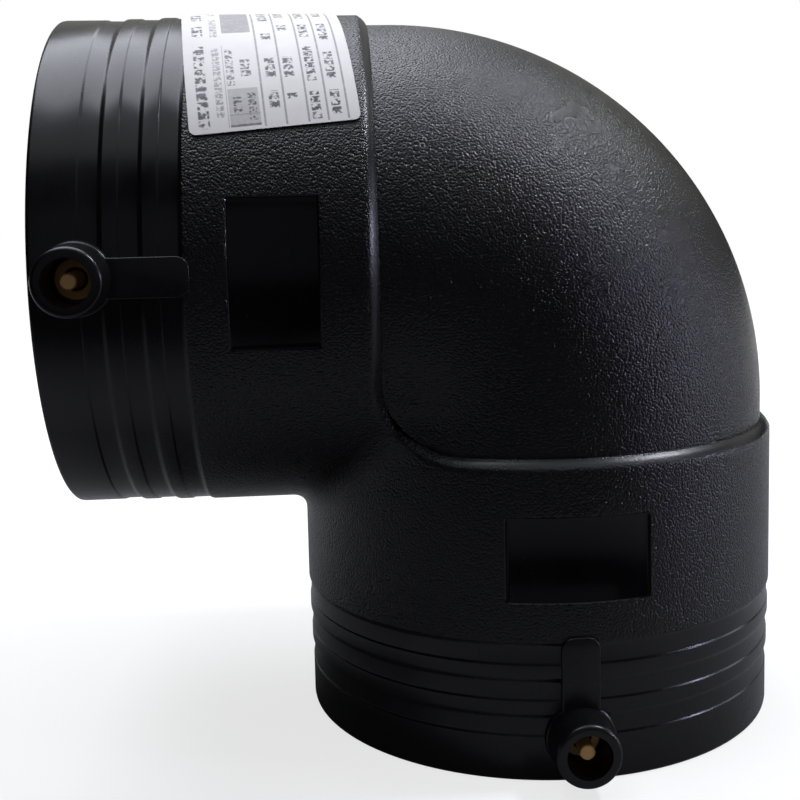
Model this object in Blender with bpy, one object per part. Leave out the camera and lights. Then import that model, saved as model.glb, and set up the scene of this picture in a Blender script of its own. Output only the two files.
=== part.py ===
"""Electrofusion elbow, 90 degrees, for 110 mm polyethylene pipe.

The moulded body stands on the mouth of its lower socket. The other socket points to -X, and
both terminals face -Y. Everything is worked out in the elbow's own plane first, where the
lower socket's axis is x = 0, y = 0, and is then shifted so that the origin lies under the
middle of the whole part. Lengths are in metres and +Z is up.
"""
import math

import bmesh
import bpy
from mathutils import Matrix, Vector

# Pipe and sockets
PIPE_DIAMETER = 0.110
PIPE_CLEARANCE = 0.0007
SOCKET_WALL = 0.0143
INSERTION_DEPTH = 0.074
STOP_HEIGHT = 0.0077
SOCKET_LENGTH = 0.0846
MOUTH_SETBACK = 0.0008
MOUTH_ROUNDING = 0.0010
BORE_CHAMFER = 0.0012

# Three shallow ramps round the mouth end of each socket, each ending in a small step
GROOVE_COUNT = 3
GROOVE_START = 0.0120
GROOVE_WIDTH = 0.0050
GROOVE_PITCH = 0.0096
GROOVE_DEPTH = 0.0005
STEP_SLOPE = 0.0009

# Waterway and bend
WATERWAY_INNER_BEND = 0.002
WATERWAY_STUB = 0.0094
BEND_STUB = 0.0062
SHOULDER_STEP = 0.0028
SHOULDER_FILLET = 0.0023
RECESS_CORNER = 0.020
BEND_DIMPLE = 0.008
CROTCH_FILLET = 0.005

# Bare recessed panels on the front of each socket
PANEL_DEPTH = 0.0006
PANEL_START = 0.048
PANEL_LENGTH = 0.0215
PANEL_HALF_WIDTH = 0.0187

# Terminals
TERMINAL_FROM_MOUTH = 0.0116
SHROUD_RADIUS = 0.0084
SHROUD_BORE_RADIUS = 0.0058
SHROUD_HEIGHT = 0.0110
SHROUD_ROUNDING = 0.0007
PAD_END = 0.0387
PAD_HALF_WIDTH = 0.0050
PAD_CORNER = 0.0033
PAD_HEIGHT = 0.0007
PAD_ROUNDING = 0.0003
PIN_RADIUS = 0.0020
PIN_LENGTH = 0.0090
PIN_BELOW_RIM = 0.0032
PIN_CHAMFER = 0.0003
FLANGE_RADIUS = 0.0050
FLANGE_RIM = 0.0020
FLANGE_THICKNESS = 0.0014
FLANGE_DISH = 0.0006

# Heating wire
WIRE_RADIUS = 0.0004
COIL_TURNS = 10
COIL_END = 0.062
WIRE_ZONE_START = 0.009
WIRE_ZONE_END = 0.066
WIRE_ZONE_DEPTH = 0.0009
LEAD_CLEARANCE = 0.0004

# Label on the left socket
LABEL_WIDTH = 0.0423
LABEL_LENGTH = 0.085
LABEL_THICKNESS = 0.0002
LABEL_CORNER = 0.0018
LABEL_MIDDLE = 0.056
LABEL_RISE = 0.0806
LABEL_TILT = math.radians(5.6)

SEAT_GAP = 0.0003
MERGE = 0.000002

# Facets
CROTCH_COLUMNS = 8
CORNER_COLUMNS = 4
FRONT_COLUMNS = 4
HEEL_COLUMNS = 14
APPROACH_ROWS = 6
BEND_ROWS = 8
BORE_COLUMNS = 48
BORE_BEND_ROWS = 6
COIL_POINTS = 26
ROUND_SIDES = 28
PIN_SIDES = 16
PAD_CORNER_SIDES = 4
PANEL_COLUMNS = 6
LABEL_STRIP = math.radians(6)
LABEL_CORNER_SIDES = 3

# Sizes that follow from the ones above
PIPE_RADIUS = PIPE_DIAMETER / 2
BORE_RADIUS = PIPE_RADIUS + PIPE_CLEARANCE
SOCKET_RADIUS = BORE_RADIUS + SOCKET_WALL
WATERWAY_RADIUS = BORE_RADIUS - STOP_HEIGHT
WATERWAY_BEND = WATERWAY_RADIUS + WATERWAY_INNER_BEND
REACH = INSERTION_DEPTH + WATERWAY_STUB + WATERWAY_BEND
SHOULDER = REACH - SOCKET_LENGTH
BEND_RADIUS = SHOULDER - BEND_STUB
TUBE_RADIUS = SOCKET_RADIUS - SHOULDER_STEP
FILLET = min(SHOULDER_FILLET, 0.85 * SHOULDER_STEP)
CORNER_X = -SHOULDER + RECESS_CORNER
CORNER_Z = REACH - SHOULDER + RECESS_CORNER
BLEND = 8 * SOCKET_RADIUS * CROTCH_FILLET * (1 - math.sqrt(0.5))
WIRE_ZONE_RADIUS = BORE_RADIUS + WIRE_ZONE_DEPTH
COIL_RADIUS = WIRE_ZONE_RADIUS - SEAT_GAP - WIRE_RADIUS
RIM_REACH = SOCKET_RADIUS + SHROUD_HEIGHT
FLANGE_REACH = RIM_REACH - PIN_BELOW_RIM - PIN_LENGTH
AXIS_X = (REACH - SOCKET_RADIUS) / 2
AXIS_Y = (RIM_REACH - SOCKET_RADIUS) / 2

# The mitre mirror turns anything on the left socket into its twin on the lower one
MITRE = Matrix(((0, 0, 1, -REACH), (0, 1, 0, 0), (1, 0, 0, REACH), (0, 0, 0, 1)))
FRONT_TO_BACK = Matrix.Scale(-1, 4, Vector((0, 1, 0)))


def clear_scene():
    for obj in list(bpy.data.objects):
        bpy.data.objects.remove(obj, do_unlink=True)


def make_material(name, colour, roughness, metallic):
    material = bpy.data.materials.new(name)
    material.use_nodes = True
    shader = material.node_tree.nodes["Principled BSDF"]
    shader.inputs["Base Color"].default_value = (*colour, 1)
    shader.inputs["Roughness"].default_value = roughness
    shader.inputs["Metallic"].default_value = metallic
    return material


def make_object(name, bm, material=None, smooth_angle=30):
    """Close the bmesh into a smooth-shaded object that sits on the elbow's axes."""
    bmesh.ops.remove_doubles(bm, verts=bm.verts, dist=MERGE)
    bmesh.ops.recalc_face_normals(bm, faces=bm.faces)
    mesh = bpy.data.meshes.new(name)
    bm.to_mesh(mesh)
    bm.free()
    mesh.shade_smooth()
    mesh.set_sharp_from_angle(angle=math.radians(smooth_angle))
    obj = bpy.data.objects.new(name, mesh)
    bpy.context.scene.collection.objects.link(obj)
    obj.location = (AXIS_X, AXIS_Y, 0)
    if material:
        mesh.materials.append(material)
    return obj


def make_tool(name, bm):
    """A shape that only cuts or fills: hidden, and drawn as wire."""
    obj = make_object(name, bm)
    obj.hide_render = True
    obj.display_type = "WIRE"
    return obj


def add_mirror_twin(bm, matrix):
    """Copy all of the mesh through a mirror matrix and merge the two halves."""
    copy = bmesh.ops.duplicate(bm, geom=bm.verts[:] + bm.edges[:] + bm.faces[:])
    new_verts = [part for part in copy["geom"] if isinstance(part, bmesh.types.BMVert)]
    new_faces = [part for part in copy["geom"] if isinstance(part, bmesh.types.BMFace)]
    bmesh.ops.transform(bm, matrix=matrix, verts=new_verts)
    bmesh.ops.reverse_faces(bm, faces=new_faces)
    bmesh.ops.remove_doubles(bm, verts=bm.verts, dist=MERGE)


def boolean(obj, tool, operation):
    modifier = obj.modifiers.new(tool.name, "BOOLEAN")
    modifier.operation = operation
    modifier.solver = "EXACT"
    modifier.object = tool


def add_face(bm, corners):
    """A face from a loop of corners, where corners that coincide count once."""
    unique = list(dict.fromkeys(corners))
    if len(unique) > 2:
        bm.faces.new(unique)


def bridge_lines(bm, line_a, line_b):
    for row in range(len(line_a) - 1):
        add_face(bm, (line_a[row], line_a[row + 1], line_b[row + 1], line_b[row]))


def solve(function, low, high):
    """Where a falling function crosses zero."""
    for _ in range(50):
        middle = (low + high) / 2
        if function(middle) > 0:
            low = middle
        else:
            high = middle
    return (low + high) / 2


# Outer skin. It is lofted from lines that run along the tube, one for each angle round it,
# from the crotch (0) past the front (90 degrees) to the heel (180 degrees).

def mouth_profile():
    """Distance from the mouth and radius, from the mouth's edge to the plain socket."""
    mouth_radius = SOCKET_RADIUS - MOUTH_SETBACK
    rise = MOUTH_SETBACK / GROOVE_COUNT
    rows = []
    for step in range(3):
        turn = step * math.pi / 4
        rows.append((MOUTH_ROUNDING * (1 - math.sin(turn)),
                     mouth_radius - MOUTH_ROUNDING * (1 - math.cos(turn))))
    rows.reverse()
    for groove in range(GROOVE_COUNT):
        start = GROOVE_START + groove * GROOVE_PITCH
        end = start + GROOVE_WIDTH
        land = mouth_radius + groove * rise
        rows.append((start, land))
        rows.append((end, land - GROOVE_DEPTH))
        rows.append((end + STEP_SLOPE, land + rise))
    return rows


def skin_point(radius, angle, x):
    """Point on the socket's skin. Towards the crotch the line bends into the fillet, along
    which the squared depths of the two crossing sockets pass smoothly into each other."""
    depth = radius * math.sin(angle)
    other = radius ** 2 - x ** 2
    z = REACH - radius * math.cos(angle)
    inside = depth ** 2 - other
    if math.cos(angle) > 0 and inside < BLEND:
        lead = 2 * math.sqrt(BLEND * max(inside, BLEND / 4)) - BLEND
        z = REACH - math.sqrt(radius ** 2 - other - lead)
    return Vector((x, -depth, z))


def mitre_x(radius, angle):
    return -math.sqrt((radius * math.cos(angle)) ** 2 + BLEND / 4)


def recess_distance(point):
    """Side-view distance of a point from the edge of the recess that the bend rises from."""
    if point.z >= CORNER_Z:
        return -SHOULDER - point.x
    return math.hypot(point.x - CORNER_X, point.z - CORNER_Z) - RECESS_CORNER


def skin_end(radius, angle, distance):
    low = -SHOULDER - distance - MOUTH_ROUNDING
    high = low + RECESS_CORNER
    x = solve(lambda x: recess_distance(skin_point(radius, angle, x)) - distance, low, high)
    return skin_point(radius, angle, x)


def mitre_point(radius, distance):
    """Point of the skin on the mitre plane, this far from the rounded corner of the recess."""
    x = CORNER_X - (RECESS_CORNER + distance) * math.sqrt(0.5)
    return Vector((x, -math.sqrt(radius ** 2 - x ** 2 + BLEND / 4), REACH + x))


def bend_depth(ring):
    """Half depth of the bend's tube at this distance from the axis that it turns about. The
    tube reaches past that axis, where it would dip to a point but for the rounded dimple."""
    eased = ring + max(BEND_DIMPLE - ring, 0) ** 2 / (2 * BEND_DIMPLE)
    return math.sqrt(max(TUBE_RADIUS ** 2 - (BEND_RADIUS - eased) ** 2, 0))


def bend_point(angle, travel):
    """Point of the bend's tube, this far along its line from the plane of the shoulder."""
    ring = BEND_RADIUS - TUBE_RADIUS * math.cos(angle)
    depth = -bend_depth(ring)
    floor = REACH - BEND_RADIUS
    if travel <= BEND_STUB:
        return Vector((-SHOULDER + travel, depth, floor + ring))
    turn = math.pi / 2 - min((travel - BEND_STUB) / max(ring, MERGE), math.pi / 4)
    return Vector((-BEND_RADIUS + ring * math.cos(turn), depth, floor + ring * math.sin(turn)))


def bend_foot():
    """Where the bend's tube meets the middle of the recess's rounded corner."""
    x = CORNER_X - RECESS_CORNER * math.sqrt(0.5)
    ring = (x + BEND_RADIUS) * math.sqrt(2) if x > -BEND_RADIUS else x + BEND_RADIUS
    return Vector((x, -bend_depth(ring), REACH + x))


def bend_line(angle):
    ring = max(BEND_RADIUS - TUBE_RADIUS * math.cos(angle), MERGE)
    length = BEND_STUB + ring * math.pi / 4
    start = solve(lambda travel: recess_distance(bend_point(angle, travel)), 0, length)
    return [bend_point(angle, start + (length - start) * row / BEND_ROWS)
            for row in range(BEND_ROWS + 1)]


def fillet_rows():
    """Distance back from the shoulder's face, and how far the rounded edge has dropped."""
    rows = []
    for step in range(1, 4):
        turn = step * math.pi / 6
        rows.append((FILLET * (1 - math.sin(turn)), FILLET * (1 - math.cos(turn))))
    return rows


def column_angles():
    mitre_reach = CORNER_X - (RECESS_CORNER + FILLET) * math.sqrt(0.5)
    corner = math.acos(math.sqrt(mitre_reach ** 2 - BLEND / 4) / SOCKET_RADIUS)
    straight = math.acos(-CORNER_X / SOCKET_RADIUS)
    stops = [(0, corner, CROTCH_COLUMNS), (corner, straight, CORNER_COLUMNS),
             (straight, math.pi / 2, FRONT_COLUMNS), (math.pi / 2, math.pi, HEEL_COLUMNS)]
    angles = [0.0]
    for start, end, count in stops:
        angles += [start + (end - start) * (step + 1) / count for step in range(count)]
    return angles


def outer_skin():
    bm = bmesh.new()
    profile = mouth_profile()
    approach_start = -SOCKET_RADIUS - 2 * CROTCH_FILLET
    lines = []
    for index, angle in enumerate(column_angles()):
        points = [Vector((-REACH + along, -radius * math.sin(angle),
                          REACH - radius * math.cos(angle))) for along, radius in profile]
        if index <= CROTCH_COLUMNS:
            end_x = mitre_x(SOCKET_RADIUS, angle)
        else:
            end_x = skin_end(SOCKET_RADIUS, angle, FILLET).x
        for row in range(APPROACH_ROWS + 1):
            x = approach_start + (end_x - approach_start) * row / APPROACH_ROWS
            points.append(skin_point(SOCKET_RADIUS, angle, x))
        if index > CROTCH_COLUMNS:
            for distance, drop in fillet_rows():
                points.append(skin_end(SOCKET_RADIUS - drop, angle, distance))
            points += bend_line(angle)
        lines.append([bm.verts.new(point) for point in points])
    for line_a, line_b in zip(lines, lines[1:]):
        shared = min(len(line_a), len(line_b))
        bridge_lines(bm, line_a[:shared], line_b[:shared])

    # The last line lies in the mitre plane and closes the rounded corner of the recess
    skin_rows = len(profile) + APPROACH_ROWS
    corner = [lines[CROTCH_COLUMNS][-1]]
    for distance, drop in fillet_rows():
        corner.append(bm.verts.new(mitre_point(SOCKET_RADIUS - drop, distance)))
    foot = bm.verts.new(bend_foot())
    corner += [foot] * (BEND_ROWS + 1)
    bridge_lines(bm, corner, lines[CROTCH_COLUMNS + 1][skin_rows:])

    add_mirror_twin(bm, FRONT_TO_BACK)
    add_mirror_twin(bm, MITRE)
    bmesh.ops.holes_fill(bm, edges=[edge for edge in bm.edges if edge.is_boundary], sides=0)
    return bm


# Bore: one tube from mouth to mouth

def bore_stations():
    """Centre, turn and radius of each ring of the left half, from the mouth to the mitre."""
    slope = WIRE_ZONE_DEPTH
    profile = [(-BORE_CHAMFER, BORE_RADIUS + 2 * BORE_CHAMFER), (BORE_CHAMFER, BORE_RADIUS),
               (WIRE_ZONE_START, BORE_RADIUS), (WIRE_ZONE_START + slope, WIRE_ZONE_RADIUS),
               (WIRE_ZONE_END, WIRE_ZONE_RADIUS), (WIRE_ZONE_END + slope, BORE_RADIUS),
               (INSERTION_DEPTH, BORE_RADIUS), (INSERTION_DEPTH, WATERWAY_RADIUS)]
    stations = [(Vector((-REACH + along, 0, REACH)), math.pi / 2, radius)
                for along, radius in profile]
    middle = Vector((-WATERWAY_BEND, 0, REACH - WATERWAY_BEND))
    for row in range(BORE_BEND_ROWS + 1):
        turn = math.pi / 2 - math.pi / 4 * row / BORE_BEND_ROWS
        arm = Vector((math.cos(turn), 0, math.sin(turn)))
        stations.append((middle + WATERWAY_BEND * arm, turn, WATERWAY_RADIUS))
    return stations


def bore():
    bm = bmesh.new()
    stations = bore_stations()
    rings = []
    for centre, turn, radius in stations:
        arm = Vector((math.cos(turn), 0, math.sin(turn)))
        ring = []
        for column in range(BORE_COLUMNS):
            angle = 2 * math.pi * column / BORE_COLUMNS
            offset = math.cos(angle) * arm + math.sin(angle) * Vector((0, 1, 0))
            ring.append(bm.verts.new(centre + radius * offset))
        rings.append(ring)
    bm.faces.new(rings[0])
    for ring_a, ring_b in zip(rings, rings[1:]):
        bridge_lines(bm, ring_a + ring_a[:1], ring_b + ring_b[:1])
    add_mirror_twin(bm, MITRE)
    return bm


# Shapes that fill or cut at the terminals and panels, first for the left socket

def add_round(bm, radius, start, end, sides):
    """A cylinder along -Y at the left terminal, between two distances from the socket's axis."""
    place = Matrix.Translation((-REACH + TERMINAL_FROM_MOUTH, -(start + end) / 2, REACH))
    place @= Matrix.Rotation(math.pi / 2, 4, "X")
    return bmesh.ops.create_cone(bm, cap_ends=True, segments=sides, radius1=radius, radius2=radius,
                                 depth=end - start, matrix=place)


def round_outer_edges(bm, reach, width):
    """Bevel the edges of the face that looks to -Y at this distance."""
    edges = [edge for edge in bm.edges
             if all(abs(vert.co.y + reach) < MERGE for vert in edge.verts)]
    bmesh.ops.bevel(bm, geom=edges, offset=width, segments=2, profile=0.5, affect="EDGES")


def shroud():
    bm = bmesh.new()
    add_round(bm, SHROUD_RADIUS, SOCKET_RADIUS - SOCKET_WALL / 2, RIM_REACH, ROUND_SIDES)
    round_outer_edges(bm, RIM_REACH, SHROUD_ROUNDING)
    return bm


def shroud_bore():
    bm = bmesh.new()
    floor = FLANGE_REACH - FLANGE_THICKNESS - SEAT_GAP
    add_round(bm, SHROUD_BORE_RADIUS, floor, RIM_REACH + SHROUD_HEIGHT, ROUND_SIDES)
    return bm


def pin_hole():
    bm = bmesh.new()
    add_round(bm, PIN_RADIUS + SEAT_GAP, BORE_RADIUS - SOCKET_WALL / 2, FLANGE_REACH, PIN_SIDES)
    return bm


def pad():
    """The raised tongue over the wire's way in: straight sides and rounded corners at its end."""
    bm = bmesh.new()
    reach = SOCKET_RADIUS + PAD_HEIGHT
    inside = SOCKET_RADIUS - SOCKET_WALL / 2
    outline = [(-REACH + TERMINAL_FROM_MOUTH, REACH + PAD_HALF_WIDTH)]
    for side, first_turn in ((1, math.pi / 2), (-1, 0)):
        for step in range(PAD_CORNER_SIDES + 1):
            turn = first_turn - math.pi / 2 * step / PAD_CORNER_SIDES
            outline.append((-REACH + PAD_END - PAD_CORNER + PAD_CORNER * math.cos(turn),
                            REACH + side * (PAD_HALF_WIDTH - PAD_CORNER)
                            + PAD_CORNER * math.sin(turn)))
    outline.append((-REACH + TERMINAL_FROM_MOUTH, REACH - PAD_HALF_WIDTH))
    face = bm.faces.new([bm.verts.new((x, -inside, z)) for x, z in outline])
    raised = bmesh.ops.extrude_face_region(bm, geom=[face])
    verts = [part for part in raised["geom"] if isinstance(part, bmesh.types.BMVert)]
    bmesh.ops.translate(bm, verts=verts, vec=(0, inside - reach, 0))
    round_outer_edges(bm, reach, PAD_ROUNDING)
    return bm


def panel():
    """A curved slab whose inner face is the panel's floor."""
    bm = bmesh.new()
    half_angle = PANEL_HALF_WIDTH / SOCKET_RADIUS
    corners = []
    for along, radius in ((PANEL_START, SOCKET_RADIUS - PANEL_DEPTH),
                          (PANEL_START + PANEL_LENGTH, SOCKET_RADIUS - PANEL_DEPTH),
                          (PANEL_START + PANEL_LENGTH, SOCKET_RADIUS + PANEL_DEPTH),
                          (PANEL_START, SOCKET_RADIUS + PANEL_DEPTH)):
        corners.append(bm.verts.new((-REACH + along, -radius * math.cos(half_angle),
                                     REACH - radius * math.sin(half_angle))))
    face = bm.faces.new(corners)
    bmesh.ops.spin(bm, geom=[face], cent=(0, 0, REACH), axis=(1, 0, 0), angle=-2 * half_angle,
                   steps=PANEL_COLUMNS, use_duplicate=False)
    return bm


def lead_ends():
    """Where the wire leaves the left coil and enters the lower one, at the crotch."""
    left = Vector((-REACH + COIL_END, 0, REACH - COIL_RADIUS))
    return left, MITRE @ left


def lead_channel():
    """The bore in the crotch's web that the wire crosses from coil to coil."""
    bm = bmesh.new()
    left, lower = lead_ends()
    run = lower - left
    place = Matrix.Translation((left + lower) / 2) @ run.to_track_quat("Z", "Y").to_matrix().to_4x4()
    radius = WIRE_RADIUS + LEAD_CLEARANCE
    bmesh.ops.create_cone(bm, cap_ends=True, segments=8, radius1=radius, radius2=radius,
                          depth=run.length, matrix=place)
    return bm


def mirrored(maker):
    bm = maker()
    bmesh.ops.transform(bm, matrix=MITRE, verts=bm.verts)
    return bm


def build_body(material):
    body = make_object("elbow_body", outer_skin(), material)
    for name, maker, operation in (("shroud", shroud, "UNION"), ("pad", pad, "UNION"),
                                   ("shroud_bore", shroud_bore, "DIFFERENCE"),
                                   ("pin_hole", pin_hole, "DIFFERENCE"),
                                   ("panel", panel, "DIFFERENCE")):
        boolean(body, make_tool(name + "_left_tool", maker()), operation)
        boolean(body, make_tool(name + "_lower_tool", mirrored(maker)), operation)
    boolean(body, make_tool("lead_channel_tool", lead_channel()), "DIFFERENCE")
    boolean(body, make_tool("bore_tool", bore()), "DIFFERENCE")
    return body


# Heating wire: one length from pin to pin, through both coils

def coil_points():
    """From under the left pin round the bore to the crotch side, at an even pitch."""
    sweep = 2 * math.pi * (COIL_TURNS + 0.25)
    count = round(COIL_POINTS * (COIL_TURNS + 0.25))
    points = []
    for step in range(count + 1):
        share = step / count
        angle = math.pi / 2 - sweep * share
        along = TERMINAL_FROM_MOUTH + (COIL_END - TERMINAL_FROM_MOUTH) * share
        points.append(Vector((-REACH + along, -COIL_RADIUS * math.sin(angle),
                              REACH - COIL_RADIUS * math.cos(angle))))
    return points


def build_wire(material):
    left = coil_points()
    lower = [MITRE @ point for point in reversed(left)]
    curve = bpy.data.curves.new("heating_wire", "CURVE")
    curve.dimensions = "3D"
    curve.bevel_depth = WIRE_RADIUS
    curve.bevel_resolution = 0
    curve.use_fill_caps = True
    spline = curve.splines.new("POLY")
    points = left + lower
    spline.points.add(len(points) - 1)
    for point, place in zip(spline.points, points):
        point.co = (*place, 1)
    curve.materials.append(material)
    wire = bpy.data.objects.new("heating_wire", curve)
    bpy.context.scene.collection.objects.link(wire)
    wire.location = (AXIS_X, AXIS_Y, 0)
    return wire


# Terminal pin, turned about its own axis and then laid along -Y

def pin_shape():
    root = WIRE_ZONE_RADIUS - FLANGE_REACH
    dish = -FLANGE_DISH
    flange_bottom = -FLANGE_THICKNESS
    outline = [(0, root), (PIN_RADIUS, root), (PIN_RADIUS, flange_bottom),
               (FLANGE_RADIUS, flange_bottom), (FLANGE_RADIUS, 0),
               (FLANGE_RADIUS - FLANGE_RIM, 0), (FLANGE_RADIUS - FLANGE_RIM, dish),
               (PIN_RADIUS, dish), (PIN_RADIUS, PIN_LENGTH - PIN_CHAMFER),
               (PIN_RADIUS - PIN_CHAMFER, PIN_LENGTH), (0, PIN_LENGTH)]
    bm = bmesh.new()
    verts = [bm.verts.new((radius, 0, height)) for radius, height in outline]
    edges = [bm.edges.new(pair) for pair in zip(verts, verts[1:])]
    bmesh.ops.spin(bm, geom=verts + edges, cent=(0, 0, 0), axis=(0, 0, 1), angle=2 * math.pi,
                   steps=PIN_SIDES, use_duplicate=False)
    place = Matrix.Translation((-REACH + TERMINAL_FROM_MOUTH, -FLANGE_REACH, REACH))
    bmesh.ops.transform(bm, matrix=place @ Matrix.Rotation(math.pi / 2, 4, "X"), verts=bm.verts)
    return bm


# Label: a rectangle with rounded corners, cut into strips and wrapped round the socket

def build_label(material):
    bm = bmesh.new()
    outline = []
    half = (LABEL_WIDTH / 2 - LABEL_CORNER, LABEL_LENGTH / 2 - LABEL_CORNER)
    for quarter, (side_x, side_y) in enumerate(((1, 1), (-1, 1), (-1, -1), (1, -1))):
        for step in range(LABEL_CORNER_SIDES + 1):
            turn = (quarter + step / LABEL_CORNER_SIDES) * math.pi / 2
            outline.append((side_x * half[0] + LABEL_CORNER * math.cos(turn),
                            side_y * half[1] + LABEL_CORNER * math.sin(turn)))
    bm.faces.new([bm.verts.new((x, y, 0)) for x, y in outline])
    tilt = Matrix.Translation((LABEL_MIDDLE, LABEL_RISE, 0)) @ Matrix.Rotation(LABEL_TILT, 4, "Z")
    bmesh.ops.transform(bm, matrix=tilt, verts=bm.verts)
    strip = LABEL_STRIP * SOCKET_RADIUS
    lowest = min(vert.co.y for vert in bm.verts)
    highest = max(vert.co.y for vert in bm.verts)
    for cut in range(math.ceil(lowest / strip), math.ceil(highest / strip)):
        bmesh.ops.bisect_plane(bm, geom=bm.verts[:] + bm.edges[:] + bm.faces[:],
                               plane_co=(0, cut * strip, 0), plane_no=(0, 1, 0))
    inner = SOCKET_RADIUS + SEAT_GAP
    for vert in bm.verts:
        turn = vert.co.y / SOCKET_RADIUS
        vert.co = (-REACH + vert.co.x, -inner * math.cos(turn), REACH + inner * math.sin(turn))
    skin = bmesh.ops.extrude_face_region(bm, geom=bm.faces[:])
    for part in skin["geom"]:
        if isinstance(part, bmesh.types.BMVert):
            arm = Vector((0, part.co.y, part.co.z - REACH)).normalized()
            part.co += arm * LABEL_THICKNESS
    make_object("label", bm, material)


def build():
    clear_scene()
    plastic = make_material("black_polyethylene", (0.012, 0.012, 0.013), 0.5, 0.0)
    brass = make_material("brass", (0.78, 0.58, 0.30), 0.3, 1.0)
    copper = make_material("resistance_wire", (0.80, 0.42, 0.25), 0.35, 1.0)
    paper = make_material("white_label", (0.85, 0.85, 0.87), 0.45, 0.0)
    build_body(plastic)
    build_wire(copper)
    make_object("terminal_pin_left", pin_shape(), brass)
    make_object("terminal_pin_lower", mirrored(pin_shape), brass)
    build_label(paper)


build()
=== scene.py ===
"""Looks of the electrofusion elbow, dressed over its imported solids.

Everything is modelled about the elbow's own axes, where the lower socket stands on x = 0, y = 0
and the left socket points to -X at the height REACH, and is then moved to the solids' place.
What both sockets have is modelled once in a socket's own axes: +X runs from the mouth into the
elbow and -Y is the front. Lengths are in metres.
"""
import math

import bpy
from mathutils import Matrix, Vector


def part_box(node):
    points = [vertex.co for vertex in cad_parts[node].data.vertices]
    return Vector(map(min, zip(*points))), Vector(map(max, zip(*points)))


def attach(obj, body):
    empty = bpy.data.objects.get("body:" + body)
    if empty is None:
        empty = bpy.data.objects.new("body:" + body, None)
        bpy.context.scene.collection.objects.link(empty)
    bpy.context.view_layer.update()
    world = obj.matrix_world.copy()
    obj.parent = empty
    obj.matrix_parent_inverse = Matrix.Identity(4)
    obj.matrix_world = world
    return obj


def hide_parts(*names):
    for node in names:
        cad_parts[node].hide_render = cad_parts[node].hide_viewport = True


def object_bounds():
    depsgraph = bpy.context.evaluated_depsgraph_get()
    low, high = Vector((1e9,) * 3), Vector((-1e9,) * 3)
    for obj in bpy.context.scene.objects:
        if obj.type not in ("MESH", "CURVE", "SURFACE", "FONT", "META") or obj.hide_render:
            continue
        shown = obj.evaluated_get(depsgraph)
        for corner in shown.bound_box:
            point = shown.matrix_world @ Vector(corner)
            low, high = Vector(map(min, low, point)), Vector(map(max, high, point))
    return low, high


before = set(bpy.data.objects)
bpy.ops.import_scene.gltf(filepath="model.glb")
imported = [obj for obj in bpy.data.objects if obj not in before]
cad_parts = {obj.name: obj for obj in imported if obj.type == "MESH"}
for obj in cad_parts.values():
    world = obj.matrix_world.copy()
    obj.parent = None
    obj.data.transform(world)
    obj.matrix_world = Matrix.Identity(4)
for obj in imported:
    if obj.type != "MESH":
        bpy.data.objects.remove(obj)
SOLID_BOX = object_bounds()

# Sizes that the solids give
BODY_LOW, BODY_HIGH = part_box("elbow_body")
PIN_LOW, PIN_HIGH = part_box("terminal_pin_left")
SOCKET_RADIUS = 0.070
PLACE = Vector((BODY_HIGH.x - SOCKET_RADIUS, BODY_HIGH.y - SOCKET_RADIUS, 0))
REACH = BODY_HIGH.z - SOCKET_RADIUS
RIM_REACH = PLACE.y - BODY_LOW.y
TERMINAL_FROM_MOUTH = (PIN_LOW.x + PIN_HIGH.x) / 2 - BODY_LOW.x
PIN_TIP = PLACE.y - PIN_LOW.y
PIN_ROOT = PLACE.y - PIN_HIGH.y

# Socket: mouth, ramps and shoulder
MOUTH_SETBACK = 0.0008
MOUTH_ROUNDING = 0.0010
RAMP_COUNT = 3
RAMP_START = 0.0120
RAMP_WIDTH = 0.0050
RAMP_PITCH = 0.0096
RAMP_LIP = 0.00045
RAMP_DROP = 0.00028
RAMP_DEPTH = 0.00033
STEP_SLOPE = 0.0011
EDGE_ROUNDING = 0.00015
SOCKET_LENGTH = 0.0846
SHOULDER_STEP = 0.0028
SHOULDER_FILLET = 0.0026
SHOULDER_RUN = 0.0027
SHOULDER_FLATNESS = 0.6
RECESS_CORNER = 0.020
CROTCH_FILLET = 0.005

# Bore, wire and waterway. The coil's sweep is its number of turns, from the pin to the crotch
BORE_RADIUS = 0.0557
BORE_CHAMFER = 0.0012
INSERTION_DEPTH = 0.074
WIRE_ZONE_START = 0.009
WIRE_ZONE_END = 0.066
WIRE_ZONE_DEPTH = 0.0009
WIRE_RADIUS = 0.0004
WIRE_BURIED = 0.0003
COIL_SWEEP = 10.25
COIL_END = 0.062
RIDGE_HEIGHT = 0.00055
GROOVE_SHARE = 0.30
WATERWAY_RADIUS = 0.048
WATERWAY_BEND = 0.050
STOP_ROUNDING = 0.0006

# Bend
SHOULDER = REACH - SOCKET_LENGTH
BEND_STUB = 0.0062
BEND_RADIUS = SHOULDER - BEND_STUB
BEND_DIMPLE = 0.008
TUBE_RADIUS = SOCKET_RADIUS - SHOULDER_STEP
CORNER_X = -SHOULDER + RECESS_CORNER
CORNER_Z = REACH - SHOULDER + RECESS_CORNER
BLEND = 8 * SOCKET_RADIUS * CROTCH_FILLET * (1 - math.sqrt(0.5))

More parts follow.
